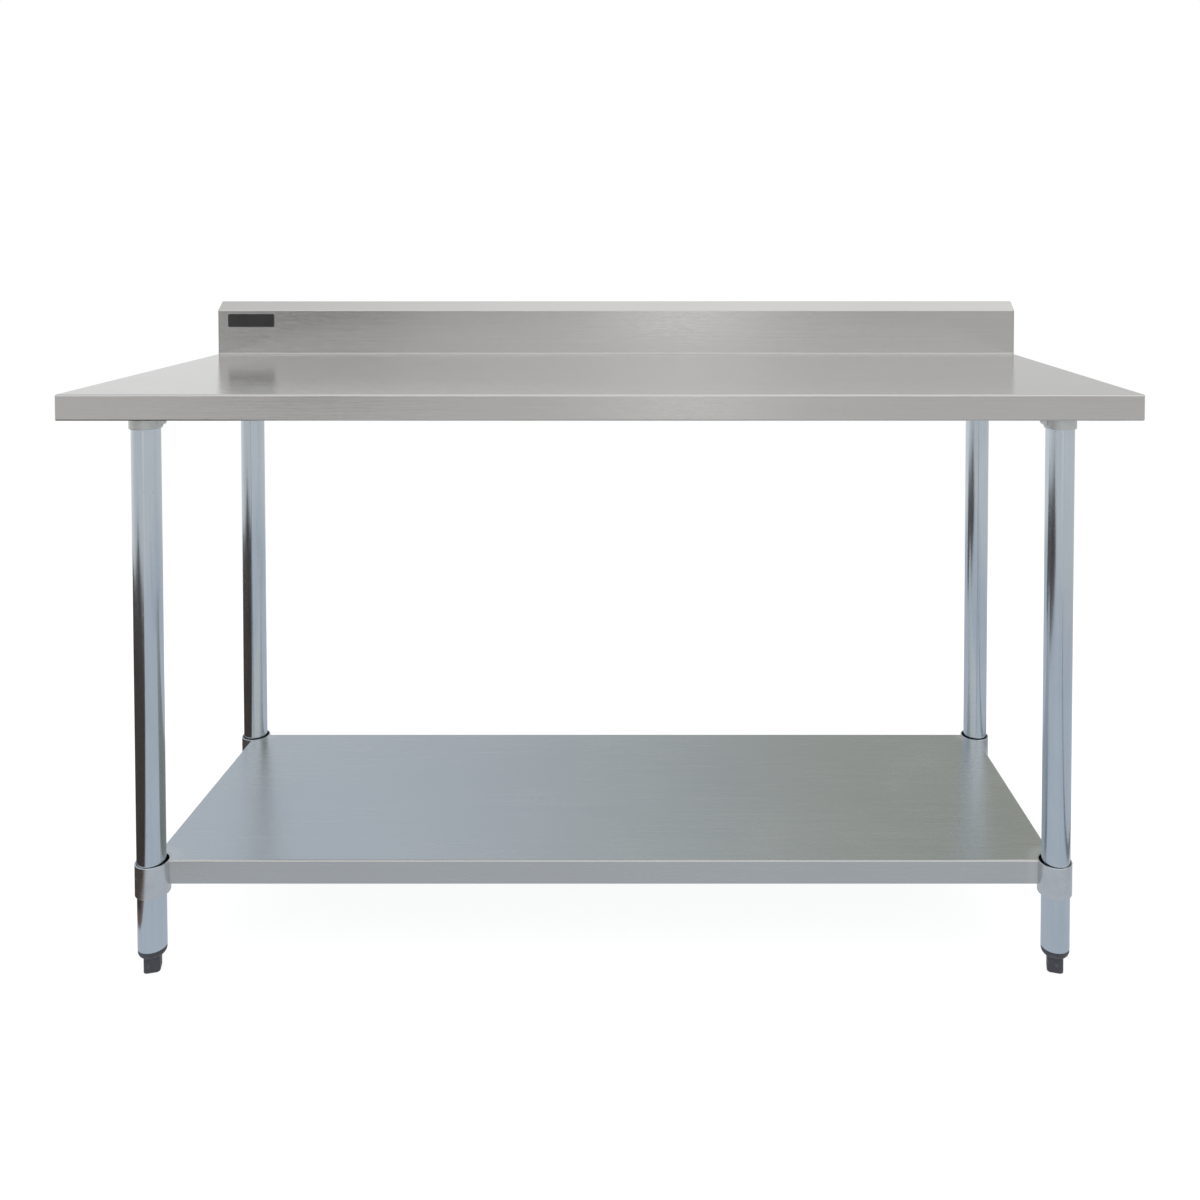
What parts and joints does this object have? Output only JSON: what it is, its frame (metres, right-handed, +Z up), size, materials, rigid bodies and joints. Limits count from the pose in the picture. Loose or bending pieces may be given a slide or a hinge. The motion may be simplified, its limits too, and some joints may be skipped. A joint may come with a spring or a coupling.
{
  "type": "stainless work table",
  "caption": "Rectangular stainless steel work table with a rear upstand, round tube legs, a height-adjustable undershelf and screw-in levelling feet.",
  "frame": {"origin": "on the floor, under the middle of the overall length and depth", "axes": "+X along the table's length to the right as a user in front sees it, +Y from the front edge towards the wall side, +Z up"},
  "size_m": [1.524, 0.61, 0.9747],
  "materials": {
    "worktop_stainless": "fine horizontal brushing, satin",
    "shelf_stainless": "fine lengthwise brushing, satin",
    "collar_metal": "satin, slightly warm",
    "socket_metal": "fine cast surface, satin",
    "bright_zinc": "bright blue-white zinc plating on drawn tube",
    "galvanised_channel": "dull galvanised sheet",
    "fastener": "zinc-plated fasteners",
    "foot_plastic": "charcoal moulded plastic",
    "badge_black": "black plate, blank"
  },
  "bodies": {
    "frame": {"worktop_sheet": "worktop_stainless", "splash_end_left": "worktop_stainless", "splash_end_right": "worktop_stainless", "worktop_channel": "galvanised_channel", "cross_channel_left": "galvanised_channel", "cross_channel_right": "galvanised_channel", "leg_socket_front_left": "socket_metal", "leg_socket_front_right": "socket_metal", "leg_socket_rear_left": "socket_metal", "leg_socket_rear_right": "socket_metal", "socket_nut_front_left_a": "fastener", "socket_nut_front_left_b": "fastener", "socket_nut_front_right_a": "fastener", "socket_nut_front_right_b": "fastener", "socket_nut_rear_left_a": "fastener", "socket_nut_rear_left_b": "fastener", "socket_nut_rear_right_a": "fastener", "socket_nut_rear_right_b": "fastener", "socket_screw_front_left": "fastener", "socket_screw_front_right": "fastener", "socket_screw_rear_left": "fastener", "socket_screw_rear_right": "fastener", "leg_front_left": "bright_zinc", "leg_front_right": "bright_zinc", "leg_rear_left": "bright_zinc", "leg_rear_right": "bright_zinc", "foot_insert_front_left": "foot_plastic", "foot_insert_front_right": "foot_plastic", "foot_insert_rear_left": "foot_plastic", "foot_insert_rear_right": "foot_plastic", "badge_plate": "badge_black"},
    "shelf": {"shelf_sheet": "shelf_stainless", "shelf_channel": "galvanised_channel", "shelf_collar_front_left": "collar_metal", "shelf_collar_front_right": "collar_metal", "shelf_collar_rear_left": "collar_metal", "shelf_collar_rear_right": "collar_metal", "collar_screw_front_left": "fastener", "collar_screw_front_right": "fastener", "collar_screw_rear_left": "fastener", "collar_screw_rear_right": "fastener"},
    "foot_front_left_screw": {"foot_stud_front_left": "fastener"},
    "foot_front_left": {"foot_block_front_left": "foot_plastic"},
    "foot_front_right_screw": {"foot_stud_front_right": "fastener"},
    "foot_front_right": {"foot_block_front_right": "foot_plastic"},
    "foot_rear_left_screw": {"foot_stud_rear_left": "fastener"},
    "foot_rear_left": {"foot_block_rear_left": "foot_plastic"},
    "foot_rear_right_screw": {"foot_stud_rear_right": "fastener"},
    "foot_rear_right": {"foot_block_rear_right": "foot_plastic"}
  },
  "joints": [
    {"name": "shelf_height", "type": "slide", "parent": "frame", "child": "shelf", "axis": [0, 0, 1], "range_m": [-0.07, 0.6]},
    {"name": "foot_travel_front_left", "type": "slide", "parent": "frame", "child": "foot_front_left_screw", "axis": [0, 0, -1], "range_m": [0, 0.015]},
    {"name": "foot_turn_front_left", "type": "hinge", "parent": "foot_front_left_screw", "child": "foot_front_left", "pos_m": [-0.675, -0.216, 0.012], "axis": [0, 0, 1], "range_deg": [0, 3600]},
    {"name": "foot_travel_front_right", "type": "slide", "parent": "frame", "child": "foot_front_right_screw", "axis": [0, 0, -1], "range_m": [0, 0.015]},
    {"name": "foot_turn_front_right", "type": "hinge", "parent": "foot_front_right_screw", "child": "foot_front_right", "pos_m": [0.675, -0.216, 0.012], "axis": [0, 0, 1], "range_deg": [0, 3600]},
    {"name": "foot_travel_rear_left", "type": "slide", "parent": "frame", "child": "foot_rear_left_screw", "axis": [0, 0, -1], "range_m": [0, 0.015]},
    {"name": "foot_turn_rear_left", "type": "hinge", "parent": "foot_rear_left_screw", "child": "foot_rear_left", "pos_m": [-0.675, 0.216, 0.012], "axis": [0, 0, 1], "range_deg": [0, 3600]},
    {"name": "foot_travel_rear_right", "type": "slide", "parent": "frame", "child": "foot_rear_right_screw", "axis": [0, 0, -1], "range_m": [0, 0.015]},
    {"name": "foot_turn_rear_right", "type": "hinge", "parent": "foot_rear_right_screw", "child": "foot_rear_right", "pos_m": [0.675, 0.216, 0.012], "axis": [0, 0, 1], "range_deg": [0, 3600]}
  ],
  "couplings": [
    {"joint": "foot_travel_front_left", "follows": "foot_turn_front_left", "m_per_rad": 0.0002387},
    {"joint": "foot_travel_front_right", "follows": "foot_turn_front_right", "m_per_rad": 0.0002387},
    {"joint": "foot_travel_rear_left", "follows": "foot_turn_rear_left", "m_per_rad": 0.0002387},
    {"joint": "foot_travel_rear_right", "follows": "foot_turn_rear_right", "m_per_rad": 0.0002387}
  ]
}
